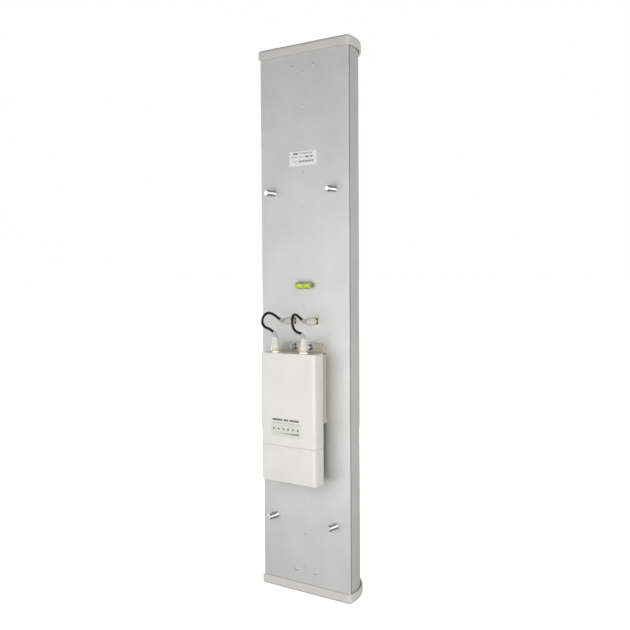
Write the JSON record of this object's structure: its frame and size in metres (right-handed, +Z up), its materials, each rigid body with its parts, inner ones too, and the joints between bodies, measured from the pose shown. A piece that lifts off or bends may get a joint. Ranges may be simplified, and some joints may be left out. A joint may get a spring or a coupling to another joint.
{
  "type": "sector antenna with radio unit",
  "caption": "Tall D-section outdoor panel antenna on studs, with a clip-on radio box, two short coax jumpers and a spirit level on its flat back.",
  "frame": {"origin": "centre of the four mast studs, on the back plate's rear face", "axes": "+Z up along the panel, +Y the way the antenna radiates, so the studs, radio and jumpers are on the -Y side, and +X to the right seen from behind"},
  "size_m": [0.1428, 0.1306, 0.7038],
  "materials": {
    "plate": "satin, lightly anodised",
    "radome_plastic": "matte",
    "cap_plastic": "matte",
    "sheet_aluminium": "mill",
    "zinc": "bright zinc plate",
    "rivet_aluminium": "satin",
    "white_plastic": "smooth",
    "patch_brass": "satin",
    "circuit_laminate": "solder resist",
    "connector_gold": "gold flash",
    "dark_steel": "black oxide",
    "vial_green": "clear tinted acrylic",
    "bubble": "clear",
    "holder_plastic": "tinted",
    "label_film": "printed film",
    "bracket_plastic": "fine texture",
    "radio_plastic": "fine texture",
    "black_rubber": "matte",
    "shield_tin": "tin plate",
    "black_plastic": "smooth",
    "button_plastic": "smooth",
    "clear_plastic": "clear",
    "cable_jacket": "smooth PVC",
    "boot_rubber": "translucent silicone",
    "sleeve_film": "translucent heat-shrink"
  },
  "bodies": {
    "antenna": {"back_plate": "plate", "radome": "radome_plastic", "top_end_cap": "cap_plastic", "bottom_end_cap": "cap_plastic", "top_end_bracket": "sheet_aluminium", "bottom_end_bracket": "sheet_aluminium", "end_cap_screws": "zinc", "end_rivets": "rivet_aluminium", "element_rivets": "rivet_aluminium", "element_posts": "white_plastic", "patch_elements": "patch_brass", "feed_board": "circuit_laminate", "mast_studs": "zinc", "rf_connector_left": "connector_gold", "rf_connector_right": "connector_gold", "connector_insulators": "white_plastic", "connector_pins": "connector_gold", "connector_screws": "dark_steel", "level_vial": "vial_green", "level_legs": "holder_plastic", "rating_label": "label_film", "radio_bracket": "bracket_plastic", "bracket_screws": "zinc", "bracket_washers": "zinc", "bracket_inserts": "zinc", "front_cover": "radio_plastic", "rear_cover": "radio_plastic", "housing_gasket": "black_rubber", "cover_screws": "zinc", "circuit_board": "circuit_laminate", "board_screws": "zinc", "rf_shield": "shield_tin", "ethernet_jack": "black_plastic", "light_pipes": "clear_plastic", "graphic_overlay": "label_film", "radio_connector_left": "connector_gold", "radio_connector_right": "connector_gold", "radio_connector_nuts": "connector_gold", "jumper_cable_left": "cable_jacket", "jumper_cable_right": "cable_jacket", "boot_antenna_left": "boot_rubber", "boot_antenna_right": "boot_rubber", "boot_radio_left": "boot_rubber", "boot_radio_right": "boot_rubber", "plug_antenna_left": "connector_gold", "plug_antenna_right": "connector_gold", "plug_radio_left": "connector_gold", "plug_radio_right": "connector_gold", "sleeve_antenna_left": "sleeve_film", "sleeve_antenna_right": "sleeve_film", "sleeve_radio_left": "sleeve_film", "sleeve_radio_right": "sleeve_film", "coupling_nuts": "connector_gold"},
    "port_cover": {"port_cover": "radio_plastic", "cable_grommet": "black_rubber"},
    "reset_button": {"reset_button": "button_plastic"},
    "level_bubble": {"level_bubble": "bubble"}
  },
  "joints": [
    {"name": "port_cover_slide", "type": "slide", "parent": "antenna", "child": "port_cover", "axis": [0, 0, -1], "range_m": [0, 0.12]},
    {"name": "reset_press", "type": "slide", "parent": "antenna", "child": "reset_button", "axis": [0, 0, 1], "range_m": [0, 0.0007], "stiffness_N_per_m": 800},
    {"name": "bubble_float", "type": "slide", "parent": "antenna", "child": "level_bubble", "axis": [1, 0, 0], "range_m": [-0.0065, 0.0065]}
  ]
}
